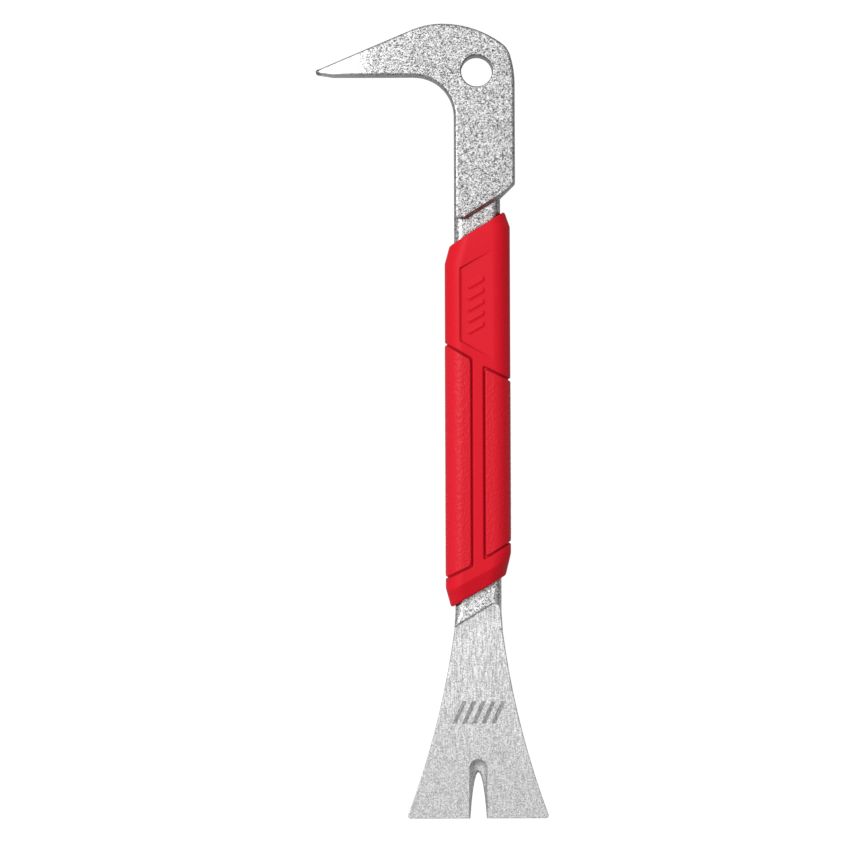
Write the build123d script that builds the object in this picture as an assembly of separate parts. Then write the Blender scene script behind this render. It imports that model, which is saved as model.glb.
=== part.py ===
from build123d import *
import os
from math import atan, cos, degrees, radians, sin, sqrt, tan

# Pry bar: one steel forging with a hooked claw head, a tang and a flared blade, and a red
# two-shot grip moulded round the tang. All sizes are millimetres.
#
# The shapes are drawn in the bar's own axes: the origin is at the middle of the blade's edge,
# +Y runs up the tang to the head, +X points away from the claw, and +Z comes out of the face.
# The tool lies on the flat back of its grip, at Z = 0. Every piece is then moved sideways so
# that the origin is under the middle of the whole tool.

# Whole tool
LENGTH = 254.0
CLAW_REACH = 51.45
GRIP_WIDTH = 20.8
GRIP_THICKNESS = 18.0
MIDDLE_Z = GRIP_THICKNESS / 2

# Tang
TANG_WIDTH = 14.7
TANG_THICKNESS = 8.0
TANG_EDGE_RADIUS = 2.6
TANG_BOTTOM_Y = 66.0
TANG_TOP_Y = 204.0
LOCK_HOLE_RADIUS = 2.5
LOCK_HOLE_YS = (104.0, 160.0)

# Claw head
HEAD_THICKNESS = 12.0
HEAD_RIGHT = 12.2
HEAD_DRAFT = 3.5
HEAD_EDGE_RADIUS = 0.75
HOOK_RADIUS = 12.8
HOOK_UNDERSIDE_Y = 237.0
CLAW_SLOPE = 22.8
CLAW_TIP_Y = 238.7
CLAW_RELIEF_X = -45.8
CREST_X = -11.0
CREST_LEFT_RADIUS = 25.6
CREST_RIGHT_RADIUS = 32.0
CREST_RIGHT_ANGLE = 37.6
SHOULDER_RADIUS = 6.4
SHOULDER_ANGLE = 72.0
STEP_TOP_Y = 202.6
STEP_CORNER_Y = 197.9
STEP_LOW_X = -3.2
STEP_LOW_Y = 191.3
STEP_CORNER_RADIUS = 1.5
STEP_WALL_ANGLE = 27.7
HANG_HOLE_Y = 238.6
HANG_HOLE_RADIUS = 5.0
HOLE_RIM = 0.3
CLAW_TAPER_LENGTH = 18.0
CLAW_TAPER_DROP = 2.8
NOTCH_WIDTH = 3.2
NOTCH_DEPTH = 8.0

# Blade
BLADE_LEFT_HALF = 23.2
BLADE_RIGHT_HALF = 22.6
BLADE_EDGE_THICKNESS = 0.5
BLADE_DRAFT = 4.0
BLADE_SLOPE = 2.37
BLADE_SIDE_RADIUS = 267.0
BLADE_TOP_Y = 60.0
BLADE_TOP_HALF = 7.75
BLADE_CORNER_RADIUS = 0.9
BLANK_EDGE_RADIUS = 0.6
NECK_OVERLAP = 2.0
STEP_LINE_LEFT_Y = 62.0
STEP_LINE_SLOPE = 31.0
STEP_LINE_FLANK_X = 7.1
STEP_LINE_CORNER_RADIUS = 2.0
STEP_LINE_DRAFT = 25.0
SLOT_X = -0.2
SLOT_RADIUS = 3.3
SLOT_END_Y = 16.1
SLOT_END_Z = 11.52
SLOT_DIP = 2.85

# Grip: outline, sections and collars
GRIP_SECTION_RADIUS = 5.6
CORE_WIDTH = 17.1
CORE_THICKNESS = 10.6
CORE_RADIUS = 3.6
GRIP_CORNERS = (
    (-10.4, 73.7),
    (-10.4, 177.2),
    (-8.8, 183.1),
    (7.4, 192.8),
    (8.8, 193.4),
    (10.4, 188.9),
    (10.4, 84.9),
    (8.7, 77.6),
    (-8.8, 67.8),
)
GRIP_CORNER_RADIUS = 0.6
LOW_FACET_START = (-7.9, 73.7)
LOW_FACET_END = (6.1, 81.2)
LOW_FACET_ANGLE = 26.0
HIGH_FACET_START = (-7.9, 178.2)
HIGH_FACET_END = (6.1, 186.4)
HIGH_FACET_ANGLE = 8.0

# Grip: panels. Each is given by where its top and bottom seams start, beside the spine, and
# where they reach the side of the grip.
SPINE_HALF_WIDTH = 2.0
LEFT_PANEL = {"side": -1, "inner": (80.9, 146.8), "outer": (77.1, 151.6)}
RIGHT_PANEL = {"side": 1, "inner": (83.4, 144.1), "outer": (88.4, 140.2)}
SEAM_RADIUS = 0.6

# Grip: badge recess on the upper collar, a wedge that runs out to nothing on its right
BADGE_LEFT = -5.6
BADGE_RIGHT = 5.0
BADGE_DEPTH = 0.75
BADGE_LOW_LEFT_Y = 152.4
BADGE_LOW_RIGHT_Y = 146.6
BADGE_HIGH_LEFT_Y = 175.8
BADGE_HIGH_RIGHT_Y = 181.6

# Plain mark in the badge: a column of slanted raised bars
MARK_BAR_COUNT = 5
MARK_BAR_LENGTH = 6.0
MARK_BAR_WIDTH = 1.3
MARK_BAR_HEIGHT = 0.35
MARK_BAR_ROOT = 0.5
MARK_BAR_PITCH = 3.6
MARK_BAR_ANGLE = 30.0
MARK_CENTRE = (-0.6, 163.8)

# How far a cutting shape reaches past what it cuts
CLEAR = 5.0


def on_circle(centre, radius, angle):
    """Point at an angle from +Y, turning towards +X."""
    return (centre[0] + radius * sin(radians(angle)), centre[1] + radius * cos(radians(angle)))


def clockwise_arc(centre, radius, start, end):
    """Arc about a centre, between two angles measured from +Y towards +X."""
    ends = (on_circle(centre, radius, start), on_circle(centre, radius, end))
    middle = on_circle(centre, radius, (start + end) / 2)
    return ThreePointArc(ends[0], middle, ends[1])


def upright_bar(width, thickness, radius, bottom, top):
    """Bar with a rounded rectangular section, along Y from bottom to top."""
    section = Plane((0, top, MIDDLE_Z), x_dir=(1, 0, 0), z_dir=(0, -1, 0))
    return extrude(section * RectangleRounded(width, thickness, radius), amount=top - bottom)


def slab(outline, bottom, top):
    """Flat outline raised from one height to another."""
    return extrude(Plane.XY.offset(bottom) * outline, amount=top - bottom)


def mirrored_back(piece):
    """The same shape on the back face."""
    return mirror(piece, about=Plane.XY.offset(MIDDLE_Z))


def head_outline():
    """Head at its widest, halfway through its thickness: tangent arcs round the crest."""
    tang_left = -TANG_WIDTH / 2
    hook_centre = (tang_left - HOOK_RADIUS, HOOK_UNDERSIDE_Y - HOOK_RADIUS)
    left_centre = (CREST_X, LENGTH - CREST_LEFT_RADIUS)
    right_centre = (CREST_X, LENGTH - CREST_RIGHT_RADIUS)
    shoulder_centre = on_circle(
        right_centre, CREST_RIGHT_RADIUS - SHOULDER_RADIUS, CREST_RIGHT_ANGLE
    )
    shoulder_end = on_circle(shoulder_centre, SHOULDER_RADIUS, SHOULDER_ANGLE)
    flank_radius = (HEAD_RIGHT - shoulder_end[0]) / (1 - sin(radians(SHOULDER_ANGLE)))
    flank_centre = on_circle(shoulder_centre, SHOULDER_RADIUS - flank_radius, SHOULDER_ANGLE)
    claw_top = on_circle(left_centre, CREST_LEFT_RADIUS, -CLAW_SLOPE)
    nose_x = -CLAW_REACH + 1.1
    nose_top = (nose_x, claw_top[1] - (claw_top[0] - nose_x) * tan(radians(CLAW_SLOPE)))
    nose_bottom = (-CLAW_REACH + 0.8, CLAW_TIP_Y - 1.0)
    lines = [
        Line((tang_left, STEP_LOW_Y), (tang_left, hook_centre[1])),
        clockwise_arc(hook_centre, HOOK_RADIUS, 90, 0),
        Line((hook_centre[0], HOOK_UNDERSIDE_Y), (CLAW_RELIEF_X, HOOK_UNDERSIDE_Y)),
        Line((CLAW_RELIEF_X, HOOK_UNDERSIDE_Y), nose_bottom),
        ThreePointArc(nose_bottom, (-CLAW_REACH, CLAW_TIP_Y), nose_top),
        Line(nose_top, claw_top),
        clockwise_arc(left_centre, CREST_LEFT_RADIUS, -CLAW_SLOPE, 0),
        clockwise_arc(right_centre, CREST_RIGHT_RADIUS, 0, CREST_RIGHT_ANGLE),
        clockwise_arc(shoulder_centre, SHOULDER_RADIUS, CREST_RIGHT_ANGLE, SHOULDER_ANGLE),
        clockwise_arc(flank_centre, flank_radius, SHOULDER_ANGLE, 90),
        Line((HEAD_RIGHT, flank_centre[1]), (HEAD_RIGHT, STEP_TOP_Y)),
        Line((HEAD_RIGHT, STEP_TOP_Y), (TANG_WIDTH / 2, STEP_CORNER_Y)),
        Line((TANG_WIDTH / 2, STEP_CORNER_Y), (STEP_LOW_X, STEP_LOW_Y)),
        Line((STEP_LOW_X, STEP_LOW_Y), (tang_left, STEP_LOW_Y)),
    ]
    outline = make_face(Wire(lines))
    return fillet(outline.vertices().filter_by(lambda v: v.Y < STEP_TOP_Y + 1), STEP_CORNER_RADIUS)


def claw_taper(back_z):
    """Space beside the tip of the claw, where its faces curve in towards the nose."""
    radius = (CLAW_TAPER_LENGTH**2 + CLAW_TAPER_DROP**2) / (2 * CLAW_TAPER_DROP)
    start_x = CLAW_TAPER_LENGTH - CLAW_REACH
    run = CLAW_TAPER_LENGTH + CLEAR

    def curve_point(distance):
        return (start_x - distance, back_z + radius - sqrt(radius**2 - distance**2))

    start, middle, end = curve_point(0), curve_point(run / 2), curve_point(run)
    corner = (end[0], back_z)
    profile = make_face(
        Wire([Line(start, corner), Line(corner, end), ThreePointArc(end, middle, start)])
    )
    plane = Plane((0, LENGTH + CLEAR, 0), x_dir=(1, 0, 0), z_dir=(0, -1, 0))
    return extrude(plane * profile, amount=LENGTH - STEP_TOP_Y)


def step_slope():
    """Space in front of the sloping wall that drops from the head's face to the tang's."""
    tang_face = MIDDLE_Z + TANG_THICKNESS / 2
    turn = degrees(atan((STEP_CORNER_Y - STEP_LOW_Y) / (TANG_WIDTH / 2 - STEP_LOW_X)))
    inset = TANG_THICKNESS / 2 * tan(radians(HEAD_DRAFT))
    foot = Pos(STEP_LOW_X, STEP_LOW_Y, tang_face) * Rot(0, 0, turn) * Pos(0, inset, 0)
    wall = Box(
        LENGTH, 2 * CLEAR, 4 * CLEAR, align=(Align.CENTER, Align.MAX, Align.CENTER)
    )
    front = slab(Rectangle(LENGTH, 2 * LENGTH), tang_face, GRIP_THICKNESS)
    return (foot * Rot(-STEP_WALL_ANGLE, 0, 0) * wall) & front


def head():
    """Claw head: two drafted halves that meet in the middle plane, with soft face edges."""
    back_z = MIDDLE_Z - HEAD_THICKNESS / 2
    middle = Plane.XY.offset(MIDDLE_Z) * head_outline()
    half = extrude(middle, amount=-HEAD_THICKNESS / 2, taper=HEAD_DRAFT) - claw_taper(back_z)
    flat = half.faces().sort_by(Axis.Z)[0]
    curved = [
        face
        for face in half.faces().filter_by(GeomType.CYLINDER)
        if abs(face.normal_at().Z) > 0.9
    ]
    seam = [edge for edge in flat.edges() if any(edge.is_same(e) for e in curved[0].edges())]
    rim = [edge for edge in flat.edges() + curved[0].edges() if not edge.is_same(seam[0])]
    half = fillet(rim, HEAD_EDGE_RADIUS)
    notch = Polyline(
        (-CLAW_REACH - 1, MIDDLE_Z - NOTCH_WIDTH / 2 - NOTCH_WIDTH / NOTCH_DEPTH / 2),
        (-CLAW_REACH + NOTCH_DEPTH, MIDDLE_Z),
        (-CLAW_REACH - 1, MIDDLE_Z + NOTCH_WIDTH / 2 + NOTCH_WIDTH / NOTCH_DEPTH / 2),
        close=True,
    )
    plane = Plane((0, LENGTH, 0), x_dir=(1, 0, 0), z_dir=(0, -1, 0))
    hole = Pos(0, HANG_HOLE_Y, 0) * Cylinder(HANG_HOLE_RADIUS, 3 * GRIP_THICKNESS)
    rim_size = HANG_HOLE_RADIUS + HOLE_RIM
    rim_cone = Pos(0, HANG_HOLE_Y, back_z + rim_size / 2) * Cone(rim_size, 0, rim_size)
    both = half + mirrored_back(half)
    both -= extrude(plane * make_face(notch), amount=LENGTH - STEP_TOP_Y)
    slope = step_slope()
    both = both - slope - mirrored_back(slope)
    return both - hole - rim_cone - mirrored_back(rim_cone)


def tang():
    """Rounded bar between the head and the blade, with the grip's lock holes."""
    bar = upright_bar(
        TANG_WIDTH, TANG_THICKNESS, TANG_EDGE_RADIUS, TANG_BOTTOM_Y, TANG_TOP_Y
    )
    for y in LOCK_HOLE_YS:
        bar -= Pos(0, y, MIDDLE_Z) * Cylinder(LOCK_HOLE_RADIUS, GRIP_THICKNESS)
    return bar


def blade_blank():
    """Blade before grinding: the tang's section opens out into a wide flat plate."""
    top = Plane((0, TANG_BOTTOM_Y, MIDDLE_Z), x_dir=(1, 0, 0), z_dir=(0, -1, 0))
    low = Plane((0, BLADE_TOP_Y, MIDDLE_Z), x_dir=(1, 0, 0), z_dir=(0, -1, 0))
    neck = loft(
        [
            top * RectangleRounded(TANG_WIDTH, TANG_THICKNESS, TANG_EDGE_RADIUS),
            low * RectangleRounded(2 * BLADE_TOP_HALF, TANG_THICKNESS, BLANK_EDGE_RADIUS),
        ],
        ruled=True,
    )
    top_right, low_right = (BLADE_TOP_HALF, BLADE_TOP_Y), (BLADE_RIGHT_HALF, 0)
    top_left, low_left = (-BLADE_TOP_HALF, BLADE_TOP_Y), (-BLADE_LEFT_HALF, 0)
    narrowing = (BLADE_TOP_HALF - TANG_WIDTH / 2) / (TANG_BOTTOM_Y - BLADE_TOP_Y)
    overlap_half = BLADE_TOP_HALF - narrowing * NECK_OVERLAP
    overlap_right = (overlap_half, BLADE_TOP_Y + NECK_OVERLAP)
    overlap_left = (-overlap_half, BLADE_TOP_Y + NECK_OVERLAP)
    outline = make_face(
        Wire(
            [
                Line(top_left, overlap_left),
                Line(overlap_left, overlap_right),
                Line(overlap_right, top_right),
                RadiusArc(top_right, low_right, -BLADE_SIDE_RADIUS),
                Line(low_right, low_left),
                RadiusArc(low_left, top_left, -BLADE_SIDE_RADIUS),
            ]
        )
    )
    corners = [vertex for vertex in outline.vertices() if vertex.Y < 1]
    outline = fillet(corners, BLADE_CORNER_RADIUS)
    middle = Plane.XY.offset(MIDDLE_Z) * outline
    back = extrude(middle, amount=-TANG_THICKNESS / 2, taper=BLADE_DRAFT)
    return neck + back + mirrored_back(back)


def grind():
    """What the wheel takes off the front of the blank: a sloping plane up to a slanted line."""
    slope = tan(radians(STEP_LINE_SLOPE))
    corner = (
        STEP_LINE_FLANK_X,
        STEP_LINE_LEFT_Y + (STEP_LINE_FLANK_X + TANG_WIDTH / 2) * slope,
    )
    left_x = -TANG_WIDTH / 2 - CLEAR
    far = 2 * BLADE_LEFT_HALF
    outline = make_face(
        Polyline(
            (left_x, STEP_LINE_LEFT_Y - CLEAR * slope),
            corner,
            (STEP_LINE_FLANK_X, BLADE_TOP_Y + 1),
            (far, BLADE_TOP_Y + 1),
            (far, -CLEAR),
            (-far, -CLEAR),
            (-far, BLADE_TOP_Y - 2),
            (left_x, BLADE_TOP_Y - 2),
            close=True,
        )
    )
    rounded = [v for v in outline.vertices() if abs(v.Y - corner[1]) < 0.01]
    outline = fillet(rounded, STEP_LINE_CORNER_RADIUS)
    front_at_edge = MIDDLE_Z + BLADE_EDGE_THICKNESS / 2
    wheel_plane = Plane((0, 0, front_at_edge)).rotated((BLADE_SLOPE, 0, 0))
    above = wheel_plane * Box(
        8 * BLADE_LEFT_HALF, LENGTH, 2 * CLEAR, align=(Align.CENTER, Align.CENTER, Align.MIN)
    )
    tang_face = MIDDLE_Z + TANG_THICKNESS / 2
    sloping = extrude(
        Plane.XY.offset(tang_face) * outline, amount=MIDDLE_Z - tang_face, taper=STEP_LINE_DRAFT
    )
    return (sloping + slab(outline, tang_face, GRIP_THICKNESS)) & above


def nail_slot():
    """Round-bottomed channel that dips down the front of the blade and breaks through as a V."""
    end = Pos(SLOT_X, SLOT_END_Y, SLOT_END_Z)
    length = SLOT_END_Y + CLEAR
    upright = Cylinder(SLOT_RADIUS, length, align=(Align.CENTER, Align.CENTER, Align.MIN))
    return end * Rot(90 + SLOT_DIP, 0, 0) * upright + end * Sphere(SLOT_RADIUS)


def forged_bar():
    """The steel: claw head, tang and blade in one piece."""
    front = grind()
    blank = tang() + blade_blank()
    blank = blank - front - mirrored_back(front) - nail_slot()
    return blank + head()


def grip_outline():
    """Grip seen from the front: slanted ends with a small chamfer at each side."""
    outline = make_face(Polyline(*GRIP_CORNERS, close=True))
    return fillet(outline.vertices(), GRIP_CORNER_RADIUS)


def facet(start, end, angle, towards_head):
    """Space over a face that slopes down to the end of the grip from a slanted line."""
    turn = degrees(atan((end[1] - start[1]) / (end[0] - start[0])))
    tilt = -angle if towards_head else angle
    place = Pos(start[0], start[1], GRIP_THICKNESS) * Rot(0, 0, turn) * Rot(tilt, 0, 0)
    side = Align.MIN if towards_head else Align.MAX
    box = Box(
        4 * GRIP_WIDTH, 2 * GRIP_WIDTH, GRIP_THICKNESS, align=(Align.CENTER, side, Align.MIN)
    )
    return place * box


def grip_body():
    """Whole grip before it is divided: rounded section, slanted ends, sloping end facets."""
    bottom = min(corner[1] for corner in GRIP_CORNERS)
    top = max(corner[1] for corner in GRIP_CORNERS)
    body = upright_bar(
        GRIP_WIDTH, GRIP_THICKNESS, GRIP_SECTION_RADIUS, bottom - CLEAR, top + CLEAR
    )
    body &= slab(grip_outline(), -CLEAR, GRIP_THICKNESS + CLEAR)
    low = facet(LOW_FACET_START, LOW_FACET_END, LOW_FACET_ANGLE, False)
    high = facet(HIGH_FACET_START, HIGH_FACET_END, HIGH_FACET_ANGLE, True)
    return body - low - mirrored_back(low) - high - mirrored_back(high)


def panel_region(panel):
    """Prism through the grip that marks out one side panel."""
    side = panel["side"]
    low_inner, high_inner = panel["inner"]
    low_outer, high_outer = panel["outer"]
    seam_run = GRIP_WIDTH / 2 - SPINE_HALF_WIDTH
    stretch = (seam_run + CLEAR) / seam_run
    outline = make_face(
        Polyline(
            (side * SPINE_HALF_WIDTH, low_inner),
            (side * SPINE_HALF_WIDTH, high_inner),
            (side * (GRIP_WIDTH / 2 + CLEAR), high_inner + (high_outer - high_inner) * stretch),
            (side * (GRIP_WIDTH / 2 + CLEAR), low_inner + (low_outer - low_inner) * stretch),
            close=True,
        )
    )
    return slab(outline, -CLEAR, GRIP_THICKNESS + CLEAR)


def core():
    """Thin layer of the first moulding all round the tang, under the panels."""
    low = min(min(panel["inner"] + panel["outer"]) for panel in (LEFT_PANEL, RIGHT_PANEL))
    high = max(max(panel["inner"] + panel["outer"]) for panel in (LEFT_PANEL, RIGHT_PANEL))
    return upright_bar(
        CORE_WIDTH, CORE_THICKNESS, CORE_RADIUS, low - 2 * CLEAR, high + 2 * CLEAR
    )


def badge_recess():
    """Wedge-shaped recess on the front of the upper collar."""
    outline = make_face(
        Polyline(
            (BADGE_LEFT, BADGE_LOW_LEFT_Y),
            (BADGE_RIGHT, BADGE_LOW_RIGHT_Y),
            (BADGE_RIGHT, BADGE_HIGH_RIGHT_Y),
            (BADGE_LEFT, BADGE_HIGH_LEFT_Y),
            close=True,
        )
    )
    return slab(outline, GRIP_THICKNESS - CLEAR, GRIP_THICKNESS + CLEAR) & (
        badge_floor() * Box(
            LENGTH, 2 * LENGTH, 2 * CLEAR, align=(Align.CENTER, Align.CENTER, Align.MIN)
        )
    )


def badge_floor():
    """Place of the recess's floor, which tips up from its deep left side."""
    tip = degrees(atan(BADGE_DEPTH / (BADGE_RIGHT - BADGE_LEFT)))
    return Pos(BADGE_LEFT, 0, GRIP_THICKNESS - BADGE_DEPTH) * Rot(0, -tip, 0)


def badge_bars():
    """Plain raised bars on the floor of the recess."""
    bars = []
    tip = badge_floor()
    middle = (MARK_BAR_COUNT - 1) / 2
    for index in range(MARK_BAR_COUNT):
        y = MARK_CENTRE[1] + (index - middle) * MARK_BAR_PITCH
        bar = SlotOverall(MARK_BAR_LENGTH, MARK_BAR_WIDTH)
        place = Pos(MARK_CENTRE[0] - BADGE_LEFT, y, 0) * Rot(0, 0, MARK_BAR_ANGLE)
        height = MARK_BAR_ROOT + MARK_BAR_HEIGHT
        bars.append(tip * Pos(0, 0, -MARK_BAR_ROOT) * extrude(place * bar, amount=height))
    return bars


def skin_depth(point):
    """How far a point lies below the rounded skin of the grip."""
    inside_x = abs(point.X) - (GRIP_WIDTH / 2 - GRIP_SECTION_RADIUS)
    inside_z = abs(point.Z - MIDDLE_Z) - (GRIP_THICKNESS / 2 - GRIP_SECTION_RADIUS)
    outward = sqrt(max(inside_x, 0) ** 2 + max(inside_z, 0) ** 2)
    return GRIP_SECTION_RADIUS - outward - min(max(inside_x, inside_z), 0)


def seam_edges(piece, region):
    """Edges of a piece that lie both on the skin of the grip and on a panel's seam."""
    tolerance = 0.01
    seam_reach = GRIP_WIDTH / 2 + CLEAR / 2
    walls = [
        face
        for face in region.faces()
        if abs(face.normal_at().Z) < tolerance and abs(face.center().X) < seam_reach
    ]
    found = []
    for edge in piece.edges():
        points = [edge @ share for share in (0.25, 0.5, 0.75)]
        on_skin = all(abs(skin_depth(point)) < tolerance for point in points)
        if on_skin and any(
            all(wall.distance_to(Vertex(*point)) < tolerance for point in points)
            for wall in walls
        ):
            found.append(edge)
    return found


def grip_pieces():
    """Frame and two panels, meeting face to face, with their outer seams rounded over."""
    body = grip_body()
    regions = {"left": panel_region(LEFT_PANEL), "right": panel_region(RIGHT_PANEL)}
    panels = {side: (body & region) - core() for side, region in regions.items()}
    frame = body
    for panel in panels.values():
        frame -= panel
    edges = [edge for region in regions.values() for edge in seam_edges(frame, region)]
    frame = fillet(edges, SEAM_RADIUS)
    panels = {
        side: fillet(seam_edges(panels[side], regions[side]), SEAM_RADIUS) for side in panels
    }
    recess = badge_recess()
    frame -= recess
    for bar in badge_bars():
        frame += bar & recess & body
    return frame, panels["left"], panels["right"]


def main():
    """Build the four pieces, centre them and write one STEP file for each."""
    bar = forged_bar()
    frame, left_panel, right_panel = grip_pieces()
    tang_space = upright_bar(
        TANG_WIDTH, TANG_THICKNESS, TANG_EDGE_RADIUS, BLADE_TOP_Y, TANG_TOP_Y
    )
    for y in LOCK_HOLE_YS:
        tang_space -= Pos(0, y, MIDDLE_Z) * Cylinder(LOCK_HOLE_RADIUS, GRIP_THICKNESS)
    pieces = {
        "forged_bar": bar,
        "grip_frame": frame - tang_space,
        "left_grip_panel": left_panel,
        "right_grip_panel": right_panel,
    }
    extent = bar.bounding_box()
    to_centre = Pos(-(extent.min.X + extent.max.X) / 2, -LENGTH / 2, 0)
    os.makedirs("parts", exist_ok=True)
    for name, piece in pieces.items():
        export_step(to_centre * piece, f"parts/{name}.step")


main()
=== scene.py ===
from math import cos, radians, sin, tan

import bpy
import numpy as np
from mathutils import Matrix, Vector


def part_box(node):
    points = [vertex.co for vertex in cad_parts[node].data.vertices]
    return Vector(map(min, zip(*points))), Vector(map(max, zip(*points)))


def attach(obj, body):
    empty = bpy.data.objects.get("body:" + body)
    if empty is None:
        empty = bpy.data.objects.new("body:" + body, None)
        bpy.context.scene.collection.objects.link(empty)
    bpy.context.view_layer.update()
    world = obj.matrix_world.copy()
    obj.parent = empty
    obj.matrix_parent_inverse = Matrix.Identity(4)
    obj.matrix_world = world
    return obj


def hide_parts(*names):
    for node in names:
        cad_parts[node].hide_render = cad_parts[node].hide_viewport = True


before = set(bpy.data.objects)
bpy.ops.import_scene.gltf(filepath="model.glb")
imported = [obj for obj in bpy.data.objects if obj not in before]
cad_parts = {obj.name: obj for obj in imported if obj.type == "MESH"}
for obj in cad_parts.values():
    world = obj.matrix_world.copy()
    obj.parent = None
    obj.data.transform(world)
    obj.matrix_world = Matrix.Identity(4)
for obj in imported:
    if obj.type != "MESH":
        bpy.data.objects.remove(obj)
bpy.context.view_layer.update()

MM = 0.001

# The object's box in the frame, and the places worked out from it
BAR_LOW, BAR_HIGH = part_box("forged_bar")
GRIP_LOW, GRIP_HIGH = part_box("grip_frame")
AXIS_X = (GRIP_LOW.x + GRIP_HIGH.x) / 2
MIDDLE_Z = (BAR_LOW.z + BAR_HIGH.z) / 2
EDGE_Y = BAR_LOW.y

# Camera: straight down on the face, far away with a long lens
LENGTH_SHARE = 0.9345
SENSOR_MM = 36.0
LENS_MM = 180.0
CAMERA_OFFSET = Vector((-16.885 * MM, -1.14 * MM, 0))
CAMERA_ROLL = -0.216

# Light
FLOOR_SEEN = 1.0
FLOOR_BOUNCE = 0.38
FLOOR_HALF = 1.5
FLOOR_DROP = 0.02 * MM
FLOOR_TONE = (0.05, 0.05, 0.05, 1)
FLOOR_ROUGHNESS = 0.9
SKY_LOW = 0.08
SKY_HIGH = 0.82
SKY_LEAN = (-0.50, 0.20, 0.84)
SKY_BLEND = (-0.35, 0.8)
WHITE = (1, 1, 1, 1)
KEY_PLACE = (-0.42, 0.25, 0.87)
KEY_SIZE = 0.34
KEY_POWER = 5.2

# Grip, in millimetres in the bar's own axes: X from the tang's axis, Y up from the blade's
# edge, Z from the middle of the thickness. Slanted lines are (x, y, slope).
HALF_WIDTH = 10.4
HALF_THICKNESS = 9.0
SECTION_RADIUS = 5.6
TANG_HALF_WIDTH = 7.45
TANG_HALF_THICKNESS = 4.05
PANEL_THICKNESS = 1.6
LOW_END = (-8.8, 67.8, 0.56)
LOW_FACET = (-7.9, 73.7, 0.536)
LOW_FACET_ANGLE = 26.0
LOW_FACET_SOFTNESS = 0.06
HIGH_FACET = (-7.9, 178.2, 0.586)
HIGH_FACET_ANGLE = 4.0
HIGH_FACET_SOFTNESS = 3.0
FACET_START = 1 / 40
HIGH_END = (-8.8, 183.1, 0.599)
END_RADIUS = 0.6
# Cut-off corners of the outline: (side, y where the cut starts, inward per mm, towards head)
CHAMFERS = (
    (-1, 73.7, 1.6 / 5.9, False),
    (-1, 177.2, 1.6 / 5.9, True),
    (1, 84.9, 1.7 / 7.3, False),
    (1, 188.9, 1.6 / 4.5, True),
)
SPINE_HALF_WIDTH = 2.0
LOW_SEAM = ((-10.4, 77.1), (-2.0, 80.9), (2.0, 83.4), (10.4, 88.4))
HIGH_SEAM = ((-10.4, 151.6), (-2.0, 146.8), (2.0, 144.1), (10.4, 140.2))
SEAM_CORNER = 0.9
SEAM_SLANT = 0.9
SEAM_DEPTH = 0.65
SEAM_FLAT = 0.16
SEAM_FLARE = 0.36
BADGE_LEFT = -5.6
BADGE_RIGHT = 5.0
BADGE_DEPTH = 0.75
BADGE_WALL = 0.22
BADGE_LOW = (-5.6, 152.4, -0.547)
BADGE_HIGH = (-5.6, 175.8, 0.547)
BADGE_CORNER = 0.2
BADGE_REACH = 7.0
STIPPLE_HEIGHT = 0.075
STIPPLE_FADE = 0.5
STIPPLE_SEED = 7

# Plain mark of slanted bars in the badge
MARK_BARS = 5
MARK_LENGTH = 6.0
MARK_WIDTH = 1.3
MARK_HEIGHT = 0.35
MARK_PITCH = 3.6
MARK_ANGLE = 30.0
MARK_MIDDLE = (-0.6, 163.8)
MARK_EDGE = 0.3

# Spacing of the grip's mesh. The rows beside each guide line lie at these distances from it.
FRONT_STEP = 0.2
BACK_STEP = 0.4
ARC_STEPS = 28
SIDE_STEPS = 17
ROW_STEP = 0.34
STEP_TOLERANCE = 0.01
NARROWING_PASSES = 4
END_ROWS = (0.0, 0.03, 0.1, 0.22, 0.4, 0.65, 0.95)
LOW_FACET_ROWS = (-0.4, -0.2, 0.0, 0.2, 0.4)
SEAM_ROWS = (-0.85, -0.65, -0.5, -0.35, -0.22, -0.11, 0, 0.11, 0.22, 0.35, 0.5, 0.65, 0.85)
BADGE_LOW_ROWS = (-0.2, 0.0, 0.13, 0.26, 0.4)
BADGE_HIGH_ROWS = (-0.4, -0.26, -0.13, 0.0, 0.2)
HIGH_FACET_ROWS = (-0.5, 0.0, 0.5)

# Plain etched mark on the blade: a row of slanted bars, in the bar's own axes
ETCH_MIDDLE_Y = 34.0
ETCH_HEIGHT = 7.2
ETCH_WIDTH = 15.0
ETCH_PITCH = 3.1
ETCH_LEAN = 0.45
ETCH_HALF_GAP = 0.27
ETCH_TONE = 0.5

# Steel. Sizes and places are millimetres in the bar's own axes. A pair of tones or shares
# is the lowest and the highest.
SPECKLE_SIZE = 0.31
PATCH_SIZE = 7
PATCH_SHARES = (0.95, 1.05)
BLASTED_TONES = (0.06, 0.78)
# Painted light: the low end of the tang is lightened to cancel the grip's shade on it
LOW_TANG_YS = (80, 90)
LOW_TANG_PAINTED_LIGHT = 1.35
STREAK_WIDTH = 0.30
STREAK_LENGTH = 7
STREAK_CONTRAST = (0.40, 0.60)
STREAK_TONES = (0.56, 1.0)
STREAK_YS = (15, 60)
STREAK_SHARES = (0.25, 1.0)
GROUND_TONE = 0.66
GROUND_SPECKLE = (0.62, 1.24)
GROUND_LINE_YS = (66.2, 66.6)
GROUND_LINE_SLOPE = 0.6
# Painted highlight near the claw's tip, where its face turns towards the light
TIP_HIGHLIGHT_XS = (-40.0, -33.0)
TIP_HIGHLIGHT_SCATTER = 8.0
TIP_HIGHLIGHT_SHARE = 0.75
TIP_HIGHLIGHT_TONE = 0.62
# Painted shade on the claw's nose
NOSE_SHADE_XS = (-50.6, -49.2)
NOSE_SHADE_SHARE = 0.3
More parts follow.
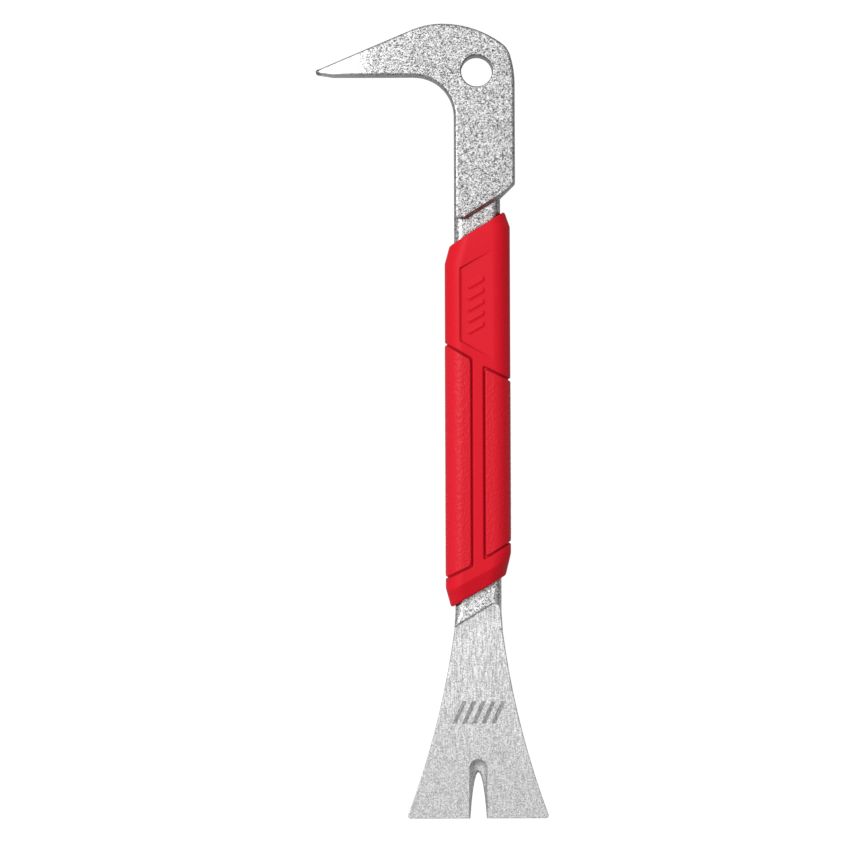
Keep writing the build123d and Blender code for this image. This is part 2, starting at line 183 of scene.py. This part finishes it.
# Painted shade: the steel is darkened in corners, creases and recesses
CORNER_SHADE_REACH = 1.8
CORNER_SHADE_OPENNESS = (0.42, 0.70)
CORNER_SHADE_SHARE = 0.10
STEEL_ROUGHNESS = (0.34, 0.46)
STEEL_EDGE_RADIUS = 0.35
PIT_SIZE = 0.4
PIT_SHARE = 0.4
STEEL_BUMP_STRENGTH = 0.6
STEEL_BUMP = 0.05

# Red rubber
SMOOTH_RED = (0.71, 0.007, 0.020, 1)
STIPPLED_RED = (0.72, 0.008, 0.022, 1)
GRAIN_SHARE = 0.88
# Painted shade down in the grooves
GROOVE_SHADE_SHARE = 0.35
GROOVE_SHADE_REACH = 0.9
GROOVE_SHADE_OPENNESS = (0.5, 0.92)
ROUGHNESS_SPREAD = 0.06
RUBBER_BUMP_STRENGTH = 0.5
NOISE_MIDDLE = (0.3, 0.7)


def new_material(name):
    """Empty node material with a Principled shader, ready to wire."""
    material = bpy.data.materials.new(name)
    material.use_nodes = True
    shader = material.node_tree.nodes["Principled BSDF"]
    return material, material.node_tree, shader


def node(tree, kind, inputs=None, **settings):
    """A shader node with its settings, its constant inputs and its incoming links."""
    made = tree.nodes.new(kind)
    for key, value in settings.items():
        setattr(made, key, value)
    for key, value in (inputs or {}).items():
        if isinstance(value, bpy.types.NodeSocket):
            tree.links.new(value, made.inputs[key])
        else:
            made.inputs[key].default_value = value
    return made


def math_node(tree, operation, first, second=0.0, clamp=False):
    """Result of one arithmetic step."""
    made = node(tree, "ShaderNodeMath", {0: first, 1: second}, operation=operation)
    made.use_clamp = clamp
    return made.outputs[0]


def noise(tree, coordinates, size, detail=2.0, roughness=0.5):
    """Noise whose features are about size across, in metres, from 0 to 1."""
    made = node(
        tree,
        "ShaderNodeTexNoise",
        {"Vector": coordinates, "Scale": 1 / size, "Detail": detail, "Roughness": roughness},
    )
    return made.outputs["Fac"]


def ramp(tree, factor, low, high, low_value, high_value):
    """Maps factor from low..high onto low_value..high_value, clamped."""
    made = node(
        tree,
        "ShaderNodeMapRange",
        {
            "Value": factor,
            "From Min": low,
            "From Max": high,
            "To Min": low_value,
            "To Max": high_value,
        },
    )
    return made.outputs["Result"]


def blend(tree, factor, first, second):
    """Blend of two values."""
    made = node(tree, "ShaderNodeMix", {"Factor": factor, "A": first, "B": second})
    return made.outputs["Result"]


def mix_colour(tree, factor, first, second):
    """Blend of two colours."""
    made = node(tree, "ShaderNodeMix", {"Factor": factor}, data_type="RGBA")
    for key, value in (("A_Color", first), ("B_Color", second)):
        socket = next(s for s in made.inputs if s.identifier == key)
        if isinstance(value, bpy.types.NodeSocket):
            tree.links.new(value, socket)
        else:
            socket.default_value = value
    return next(s for s in made.outputs if s.identifier == "Result_Color")


def grey(tree, tone):
    """Neutral colour from a tone."""
    return node(tree, "ShaderNodeCombineColor", {0: tone, 1: tone, 2: tone}).outputs[0]


def bar_axes(tree, place):
    """X, Y and Z in millimetres in the bar's own axes."""
    split = node(tree, "ShaderNodeSeparateXYZ", {0: place})
    shifts = (AXIS_X, EDGE_Y, MIDDLE_Z)
    return [
        math_node(tree, "DIVIDE", math_node(tree, "SUBTRACT", split.outputs[i], shift), MM)
        for i, shift in enumerate(shifts)
    ]


def grains(tree, coordinates, size):
    """A different random value, from 0 to 1, in each grain about size across."""
    cells = node(
        tree, "ShaderNodeTexVoronoi", {"Vector": coordinates, "Scale": 1 / size}
    )
    return node(tree, "ShaderNodeSeparateColor", {0: cells.outputs["Color"]}).outputs[0]


def stretched(tree, place, across, along):
    """Coordinates scaled so that noise comes out as streaks along Y."""
    scaling = node(
        tree, "ShaderNodeMapping", {"Vector": place, "Scale": (1 / across, 1 / along, 1 / across)}
    )
    return scaling.outputs[0]


def etched_bars(tree, x, y, z):
    """1 on a generic row of slanted bars etched in the front of the blade, 0 elsewhere."""
    up = math_node(tree, "SUBTRACT", y, ETCH_MIDDLE_Y)
    across = math_node(tree, "SUBTRACT", x, math_node(tree, "MULTIPLY", up, ETCH_LEAN))
    from_row = math_node(tree, "ABSOLUTE", up)
    inside_up = math_node(tree, "LESS_THAN", from_row, ETCH_HEIGHT / 2)
    from_centre = math_node(tree, "ABSOLUTE", across)
    inside_across = math_node(tree, "LESS_THAN", from_centre, ETCH_WIDTH / 2)
    phase = math_node(tree, "ADD", math_node(tree, "DIVIDE", across, ETCH_PITCH), 0.5)
    from_gap = math_node(tree, "PINGPONG", phase, 0.5)
    bars = math_node(tree, "GREATER_THAN", from_gap, ETCH_HALF_GAP)
    mask = math_node(tree, "MULTIPLY", inside_up, inside_across)
    mask = math_node(tree, "MULTIPLY", mask, bars)
    return math_node(tree, "MULTIPLY", mask, math_node(tree, "GREATER_THAN", z, 0.0))


def blasted_tone(tree, place, y, speckle):
    """Speckled tone of the blasted steel, with painted light on the low end of the tang against
    the grip's shade.
    """
    patches = noise(tree, place, PATCH_SIZE * MM, detail=3.0)
    tone = ramp(tree, speckle, 0.0, 1.0, *BLASTED_TONES)
    unevenness = ramp(tree, patches, *NOISE_MIDDLE, *PATCH_SHARES)
    tone = math_node(tree, "MULTIPLY", tone, unevenness)
    painted_light_low_tang = ramp(tree, y, *LOW_TANG_YS, LOW_TANG_PAINTED_LIGHT, 1.0)
    return math_node(tree, "MULTIPLY", tone, painted_light_low_tang)


def ground_tone(tree, y, speckle, streaks):
    """Streaked tone of the ground blade, plainer towards its edge."""
    streaky = ramp(tree, y, *STREAK_YS, *STREAK_SHARES)
    streaked = ramp(tree, streaks, *STREAK_CONTRAST, *STREAK_TONES)
    tone = blend(tree, streaky, GROUND_TONE, streaked)
    return math_node(tree, "MULTIPLY", tone, ramp(tree, speckle, 0.0, 1.0, *GROUND_SPECKLE))


def claw_tip_highlight_and_shade(tree, x, speckle, tone):
    """The tone with a painted highlight on the claw's tip and painted shade on its nose."""
    scatter = math_node(tree, "MULTIPLY", speckle, TIP_HIGHLIGHT_SCATTER)
    tip_highlight = ramp(tree, math_node(tree, "ADD", x, scatter), *TIP_HIGHLIGHT_XS, TIP_HIGHLIGHT_SHARE, 0.0)
    tone = blend(tree, tip_highlight, tone, TIP_HIGHLIGHT_TONE)
    return math_node(tree, "MULTIPLY", tone, ramp(tree, x, *NOSE_SHADE_XS, NOSE_SHADE_SHARE, 1.0))


def steel():
    """Bead-blasted steel, ground in line with the bar on the blade's two faces."""
    material, tree, shader = new_material("blasted_steel")
    place = node(tree, "ShaderNodeTexCoord").outputs["Object"]
    x, y, z = bar_axes(tree, place)
    speckle = grains(tree, place, SPECKLE_SIZE * MM)
    blasted = blasted_tone(tree, place, y, speckle)
    streaks = noise(
        tree,
        stretched(tree, place, STREAK_WIDTH * MM, STREAK_LENGTH * MM),
        1.0,
        detail=2.0,
        roughness=0.7,
    )
    ground = ground_tone(tree, y, speckle, streaks)
    line = math_node(tree, "SUBTRACT", y, math_node(tree, "MULTIPLY", x, GROUND_LINE_SLOPE))
    on_blade = ramp(tree, line, *GROUND_LINE_YS, 1.0, 0.0)
    tone = blend(tree, on_blade, blasted, ground)
    etching = blend(tree, etched_bars(tree, x, y, z), 1.0, ETCH_TONE)
    tone = math_node(tree, "MULTIPLY", tone, etching)
    # Painted highlight on the claw's tip and painted shade on its nose
    tone = claw_tip_highlight_and_shade(tree, x, speckle, tone)
    # Painted shade in corners, creases and recesses, darker the more hemmed in each point is
    near = node(tree, "ShaderNodeAmbientOcclusion", {"Distance": CORNER_SHADE_REACH * MM}, samples=8)
    painted_crevice_shade = ramp(tree, near.outputs["AO"], *CORNER_SHADE_OPENNESS, CORNER_SHADE_SHARE, 1.0)
    tone = math_node(tree, "MULTIPLY", tone, painted_crevice_shade)
    tree.links.new(grey(tree, tone), shader.inputs["Base Color"])
    shader.inputs["Metallic"].default_value = 1.0
    uneven = ramp(tree, speckle, 0.0, 1.0, *STEEL_ROUGHNESS)
    tree.links.new(uneven, shader.inputs["Roughness"])
    soft_edges = node(tree, "ShaderNodeBevel", {"Radius": STEEL_EDGE_RADIUS * MM}, samples=6)
    pits = noise(tree, place, PIT_SIZE * MM)
    height = blend(tree, on_blade, math_node(tree, "MULTIPLY", pits, PIT_SHARE), streaks)
    bump = node(
        tree,
        "ShaderNodeBump",
        {
            "Height": height,
            "Strength": STEEL_BUMP_STRENGTH,
            "Distance": STEEL_BUMP * MM,
            "Normal": soft_edges.outputs[0],
        },
    )
    tree.links.new(bump.outputs[0], shader.inputs["Normal"])
    return material


def darker(colour, share):
    """The colour with its three channels scaled down."""
    return tuple(share * channel for channel in colour[:3]) + (1,)


def red_rubber(name, colour, grain, bump_height, gloss, roughness):
    """Red grip rubber with a fine moulded grain, and painted shade down in its grooves."""
    material, tree, shader = new_material(name)
    place = node(tree, "ShaderNodeTexCoord").outputs["Object"]
    fine = noise(tree, place, grain, detail=2.0)
    skin = mix_colour(
        tree, ramp(tree, fine, *NOISE_MIDDLE, 0.0, 1.0), darker(colour, GRAIN_SHARE), colour
    )
    # Painted shade: the colour is darkened down in the grooves and other hollows
    near = node(tree, "ShaderNodeAmbientOcclusion", {"Distance": GROOVE_SHADE_REACH * MM}, samples=8)
    painted_crevice_shade = ramp(tree, near.outputs["AO"], *GROOVE_SHADE_OPENNESS, 0.0, 1.0)
    shaded = mix_colour(tree, painted_crevice_shade, darker(colour, GROOVE_SHADE_SHARE), skin)
    tree.links.new(shaded, shader.inputs["Base Color"])
    shader.inputs["Specular IOR Level"].default_value = gloss
    spread = (roughness - ROUGHNESS_SPREAD, roughness + ROUGHNESS_SPREAD)
    tree.links.new(ramp(tree, fine, *NOISE_MIDDLE, *spread), shader.inputs["Roughness"])
    bump = node(
        tree,
        "ShaderNodeBump",
        {"Height": fine, "Strength": RUBBER_BUMP_STRENGTH, "Distance": bump_height},
    )
    tree.links.new(bump.outputs[0], shader.inputs["Normal"])
    return material


def dress(node_name, material):
    """Gives a CAD node its finished material."""
    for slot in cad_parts[node_name].material_slots:
        slot.material = material


def on_line(line, x):
    """Y of a slanted line at x."""
    return line[1] + line[2] * (x - line[0])


def along(points, x):
    """Y of a bent line at x, carried on past its ends."""
    xs, ys = np.array(points).T
    left = ys[0] + (x - xs[0]) * (ys[1] - ys[0]) / (xs[1] - xs[0])
    right = ys[-1] + (x - xs[-1]) * (ys[-1] - ys[-2]) / (xs[-1] - xs[-2])
    return np.where(x < xs[0], left, np.where(x > xs[-1], right, np.interp(x, xs, ys)))


def smooth_step(value):
    """0 below 0, 1 above 1, and a smooth rise between."""
    value = np.clip(value, 0, 1)
    return value * value * (3 - 2 * value)


def soft_min(first, second, radius):
    """The smaller of two distances, rounded off where they are equal."""
    near = np.maximum(radius - np.abs(first - second), 0) / radius
    return np.minimum(first, second) - near * near * radius / 4


def section_columns():
    """Points round the rounded rectangle, as x, z and the outward direction's x and z."""
    flat_x, flat_z = HALF_WIDTH - SECTION_RADIUS, HALF_THICKNESS - SECTION_RADIUS
    front_xs = np.arange(-flat_x, flat_x - STEP_TOLERANCE, FRONT_STEP)
    back_xs = np.arange(flat_x, STEP_TOLERANCE - flat_x, -BACK_STEP)
    front = [(x, HALF_THICKNESS, 0, 1) for x in front_xs]
    back = [(x, -HALF_THICKNESS, 0, -1) for x in back_xs]

    def arc(side_x, side_z, start):
        points = []
        for step in range(ARC_STEPS):
            angle = radians(start + 90 * step / ARC_STEPS)
            out_x, out_z = sin(angle), cos(angle)
            x = side_x * flat_x + SECTION_RADIUS * out_x
            z = side_z * flat_z + SECTION_RADIUS * out_z
            points.append((x, z, out_x, out_z))
        return points

    def side(direction):
        heights = np.linspace(flat_z, -flat_z, SIDE_STEPS, endpoint=False) * direction
        return [(direction * HALF_WIDTH, z, direction, 0) for z in heights]

    loop = front + arc(1, 1, 0) + side(1) + arc(1, -1, 90) + back
    loop += arc(-1, -1, 180) + side(-1) + arc(-1, 1, 270)
    return np.array(loop).T


def row_plan():
    """Rows of the grip's mesh: pairs of line numbers and offsets, with a share between them."""
    offsets = (
        END_ROWS,
        LOW_FACET_ROWS,
        SEAM_ROWS,
        SEAM_ROWS,
        BADGE_LOW_ROWS,
        BADGE_HIGH_ROWS,
        HIGH_FACET_ROWS,
        [-offset for offset in reversed(END_ROWS)],
    )
    bands = [(number, offset) for number, line in enumerate(offsets) for offset in line]
    rows = []
    for low, high in zip(bands, bands[1:]):
        gap = (guide(*high, 0.0) - guide(*low, 0.0)) if low[0] != high[0] else 0
        steps = max(1, round(float(gap) / ROW_STEP))
        rows += [(low, high, step / steps) for step in range(steps)]
    rows.append((bands[-1], bands[-1], 0.0))
    return rows


def guide(number, offset, x):
    """Y at x of one of the lines that the rows follow."""
    lines = (
        lambda: on_line(LOW_END, x),
        lambda: on_line(LOW_FACET, x),
        lambda: along(LOW_SEAM, x),
        lambda: along(HIGH_SEAM, x),
        lambda: on_line(BADGE_LOW, x),
        lambda: on_line(BADGE_HIGH, x),
        lambda: on_line(HIGH_FACET, x),
        lambda: on_line(HIGH_END, x),
    )
    return lines[number]() + offset


def narrowing(x, y):
    """How far the chamfers move a point of the section inwards."""
    flat = HALF_WIDTH - SECTION_RADIUS
    weight = np.clip((np.abs(x) - SPINE_HALF_WIDTH) / (flat - SPINE_HALF_WIDTH), 0, 1)
    move = np.zeros_like(x)
    for side, start, slope, towards_head in CHAMFERS:
        past = np.maximum((y - start) if towards_head else (start - y), 0)
        move -= np.where(np.sign(x) == side, side * slope * past, 0)
    return move * weight


def grid(section_x, rows):
    """X and Y of every point of a mesh whose rows follow the guide lines."""
    xs, ys = [], []
    for low, high, share in rows:
        x = section_x
        for _ in range(NARROWING_PASSES):
            y = (1 - share) * guide(*low, x) + share * guide(*high, x)
            x = section_x + narrowing(section_x, y)
        xs.append(x)
        ys.append(y)
    return np.array(xs), np.array(ys)


def facet_drop(x, y):
    """How far the end facets lie below the grip's flat faces."""
    drop = np.zeros_like(x)
    for line, angle, softness, side in (
        (LOW_FACET, LOW_FACET_ANGLE, LOW_FACET_SOFTNESS, -1),
        (HIGH_FACET, HIGH_FACET_ANGLE, HIGH_FACET_SOFTNESS, 1),
    ):
        past = side * (y - on_line(line, x)) / np.sqrt(1 + line[2] ** 2)
        past = (past + np.sqrt(past**2 + softness**2)) / 2
        drop += tan(radians(angle)) * past * (past > softness * FACET_START)
    return drop


def end_rounding(x, y):
    """Inset of the rounded edges at both ends of the grip."""
    inset = np.zeros_like(x)
    for line, side in ((LOW_END, 1), (HIGH_END, -1)):
        inwards = side * (y - on_line(line, x)) / np.sqrt(1 + line[2] ** 2)
        short = np.clip(END_RADIUS - inwards, 0, END_RADIUS)
        inset += END_RADIUS - np.sqrt(END_RADIUS**2 - short**2)
    return inset


def inside_panel(x, y, side):
    """Distance in from the seam round one side panel; negative on the frame."""
    from_spine = side * x - SPINE_HALF_WIDTH
    from_low = (y - along(LOW_SEAM, x)) * SEAM_SLANT
    from_high = (along(HIGH_SEAM, x) - y) * SEAM_SLANT
    return soft_min(soft_min(from_spine, from_low, SEAM_CORNER), from_high, SEAM_CORNER)


def badge_relief(x, y, z):
    """Change in height of the badge's wedge-shaped recess and the bars on its floor."""
    inside = soft_min(x - BADGE_LEFT, y - on_line(BADGE_LOW, x), BADGE_CORNER)
    inside = soft_min(inside, on_line(BADGE_HIGH, x) - y, BADGE_CORNER)
    depth = BADGE_DEPTH * (BADGE_RIGHT - x) / (BADGE_RIGHT - BADGE_LEFT)
    floor_z = HALF_THICKNESS - depth
    share = smooth_step(inside / BADGE_WALL)
    relief = np.minimum(floor_z - z, 0) * share
    lean = radians(MARK_ANGLE)
    for index in range(MARK_BARS):
        up = y - MARK_MIDDLE[1] - (index - (MARK_BARS - 1) / 2) * MARK_PITCH
        across = x - MARK_MIDDLE[0]
        lengthwise = across * cos(lean) + up * sin(lean)
        sideways = up * cos(lean) - across * sin(lean)
        beyond = np.maximum(np.abs(lengthwise) - (MARK_LENGTH - MARK_WIDTH) / 2, 0)
        outside = np.hypot(beyond, sideways) - MARK_WIDTH / 2
        relief += MARK_HEIGHT * smooth_step(-outside / MARK_EDGE + 0.5)
    return relief


def grip_skin(columns, rows):
    """Outer surface of the whole grip with every groove, recess and grain of its relief."""
    section_x, section_z, out_x, out_z = columns
    x, y = grid(section_x, rows)
    flat_z = HALF_THICKNESS - SECTION_RADIUS
    drop = facet_drop(x, y)
    upright = np.clip(section_z / flat_z, -1, 1)
    z = section_z - drop * upright
    left, right = inside_panel(x, y, -1), inside_panel(x, y, 1)
    inset = end_rounding(x, y)
    for distance in (left, right):
        inset += SEAM_DEPTH * smooth_step(1 - (np.abs(distance) - SEAM_FLAT) / SEAM_FLARE)
    grain = np.random.RandomState(STIPPLE_SEED).uniform(-1, 1, x.shape)
    rough = smooth_step((np.maximum(left, right) - SEAM_FLAT - SEAM_FLARE) / STIPPLE_FADE)
    inset -= STIPPLE_HEIGHT * grain * rough
    badge = np.where(section_z > flat_z, badge_relief(x, y, z), 0)
    badge = np.where(np.abs(section_x) < BADGE_REACH, badge, 0)
    return np.stack([x - out_x * inset, y, z - out_z * inset + badge], axis=-1)


def grip_lining(section_x, section_z, rows):
    """Smooth surface inside the grip that closes a piece from behind."""
    x, y = grid(section_x, rows)
    return np.stack([x, y, np.broadcast_to(section_z, x.shape)], axis=-1)


def closed_piece(name, outer, inner, kept, material):
    """Mesh between two matching surfaces, over the kept cells, walled all round."""
    rows, columns = kept.shape
    count = outer.shape[0] * columns
    points = np.concatenate([outer.reshape(-1, 3), inner.reshape(-1, 3)])
    row, column = np.nonzero(kept)
    after = (column + 1) % columns
    corners = np.stack(
        [row * columns + column, row * columns + after,
         (row + 1) * columns + after, (row + 1) * columns + column],
        axis=1,
    )
    padded = np.zeros((rows + 2, columns), bool)
    padded[1:-1] = kept
    neighbours = (
        padded[row, column],
        kept[row, after],
        padded[row + 2, column],
        kept[row, column - 1],
    )
    walls = []
    for side, neighbour in enumerate(neighbours):
        open_side = ~neighbour
        start, end = corners[open_side, side], corners[open_side, (side + 1) % 4]
        walls.append(np.stack([start, start + count, end + count, end], axis=1))
    wall_faces = np.concatenate(walls)
    faces = np.concatenate([corners, corners[:, ::-1] + count, wall_faces])
    used, renumbered = np.unique(faces, return_inverse=True)
    faces = renumbered.reshape(faces.shape)
    places = points[used] * MM + np.array((AXIS_X, EDGE_Y, MIDDLE_Z))
    mesh = bpy.data.meshes.new(name)
    mesh.from_pydata(places.tolist(), [], faces.tolist())
    smooth = np.ones(len(faces), bool)
    smooth[len(faces) - len(wall_faces):] = False
    mesh.polygons.foreach_set("use_smooth", smooth)
    mesh.materials.append(material)
    mesh.update()
    piece = bpy.data.objects.new(name, mesh)
    bpy.context.scene.collection.objects.link(piece)
    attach(piece, "root")
    return piece


def grip(smooth, textured):
    """The moulded grip in three pieces: frame and two stippled side panels."""
    columns = section_columns()
    section_x, section_z, out_x, out_z = columns
    rows = row_plan()
    skin = grip_skin(columns, rows)
    low_row = next(i for i, (low, _, share) in enumerate(rows) if low == (2, 0) and not share)
    high_row = next(i for i, (low, _, share) in enumerate(rows) if low == (3, 0) and not share)
    cells = (len(rows) - 1, len(section_x))
    between = np.zeros(cells, bool)
    between[low_row:high_row] = True
    middles = (section_x + np.roll(section_x, -1)) / 2
    behind_panel = grip_lining(
        section_x - PANEL_THICKNESS * out_x, section_z - PANEL_THICKNESS * out_z, rows
    )
    round_tang = grip_lining(
        section_x * TANG_HALF_WIDTH / HALF_WIDTH,
        section_z * TANG_HALF_THICKNESS / HALF_THICKNESS,
        rows,
    )
    left = between & (middles < -SPINE_HALF_WIDTH)
    right = between & (middles > SPINE_HALF_WIDTH)
    for name, node_name, inner, kept, material, slot in (
        ("grip_frame_skin", "grip_frame", round_tang, ~(left | right), smooth, "grip_smooth"),
        ("left_panel_skin", "left_grip_panel", behind_panel, left, textured, "grip_textured"),
        ("right_panel_skin", "right_grip_panel", behind_panel, right, textured, "grip_textured"),
    ):
        piece = closed_piece(name, skin, inner, kept, material)
        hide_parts(node_name)


def floor():
    """Plain white floor that glows evenly, as in a shadowless product shot."""
    mesh = bpy.data.meshes.new("floor")
    sides = ((-1, -1), (1, -1), (1, 1), (-1, 1))
    corners = [(x * FLOOR_HALF, y * FLOOR_HALF, 0) for x, y in sides]
    mesh.from_pydata(corners, [], [(0, 1, 2, 3)])
    plane = bpy.data.objects.new("floor", mesh)
    bpy.context.scene.collection.objects.link(plane)
    material, tree, shader = new_material("floor")
    shader.inputs["Base Color"].default_value = FLOOR_TONE
    shader.inputs["Roughness"].default_value = FLOOR_ROUGHNESS
    shader.inputs["Specular IOR Level"].default_value = 0.0
    shader.inputs["Emission Color"].default_value = WHITE
    seen = node(tree, "ShaderNodeLightPath").outputs["Is Camera Ray"]
    glow = ramp(tree, seen, 0.0, 1.0, FLOOR_BOUNCE, FLOOR_SEEN)
    tree.links.new(glow, shader.inputs["Emission Strength"])
    mesh.materials.append(material)
    plane.location.z = -FLOOR_DROP


def area_light(name, location, size, power):
    """Soft square lamp aimed at the middle of the object."""
    lamp = bpy.data.lights.new(name, "AREA")
    lamp.size = size
    lamp.energy = power
    holder = bpy.data.objects.new(name, lamp)
    holder.location = location
    holder.rotation_euler = (-Vector(location)).to_track_quat("-Z", "Y").to_euler()
    bpy.context.scene.collection.objects.link(holder)


def lighting():
    """A sky that is brighter overhead and to the left, and a key lamp on the same side."""
    world = bpy.data.worlds.new("studio")
    world.use_nodes = True
    tree = world.node_tree
    direction = node(tree, "ShaderNodeTexCoord").outputs["Generated"]
    towards = node(
        tree,
        "ShaderNodeVectorMath",
        {0: direction, 1: Vector(SKY_LEAN).normalized()},
        operation="DOT_PRODUCT",
    )
    glow = ramp(tree, towards.outputs["Value"], *SKY_BLEND, SKY_LOW, SKY_HIGH)
    background = tree.nodes["Background"]
    background.inputs["Color"].default_value = WHITE
    tree.links.new(glow, background.inputs["Strength"])
    bpy.context.scene.world = world
    area_light("key", KEY_PLACE, KEY_SIZE, KEY_POWER)
    bpy.context.scene.view_settings.view_transform = "Standard"


def camera():
    """Long lens straight above, framed so that the bar fills the height of the picture."""
    lens = bpy.data.cameras.new("camera")
    lens.lens = LENS_MM
    lens.sensor_width = SENSOR_MM
    width = (BAR_HIGH.y - BAR_LOW.y) / LENGTH_SHARE
    holder = bpy.data.objects.new("camera", lens)
    distance = width * LENS_MM / SENSOR_MM
    holder.location = CAMERA_OFFSET + Vector((AXIS_X, 0, MIDDLE_Z + distance))
    holder.rotation_euler = (0, 0, radians(CAMERA_ROLL))
    bpy.context.scene.collection.objects.link(holder)
    bpy.context.scene.camera = holder


camera()
lighting()
floor()
dress("forged_bar", steel())
smooth_red = red_rubber(
    "smooth_red_rubber",
    SMOOTH_RED,
    grain=0.5 * MM,
    bump_height=0.012 * MM,
    gloss=0.12,
    roughness=0.48,
)
stippled_red = red_rubber(
    "stippled_red_rubber",
    STIPPLED_RED,
    grain=0.4 * MM,
    bump_height=0.03 * MM,
    gloss=0.17,
    roughness=0.40,
)
grip(smooth_red, stippled_red)
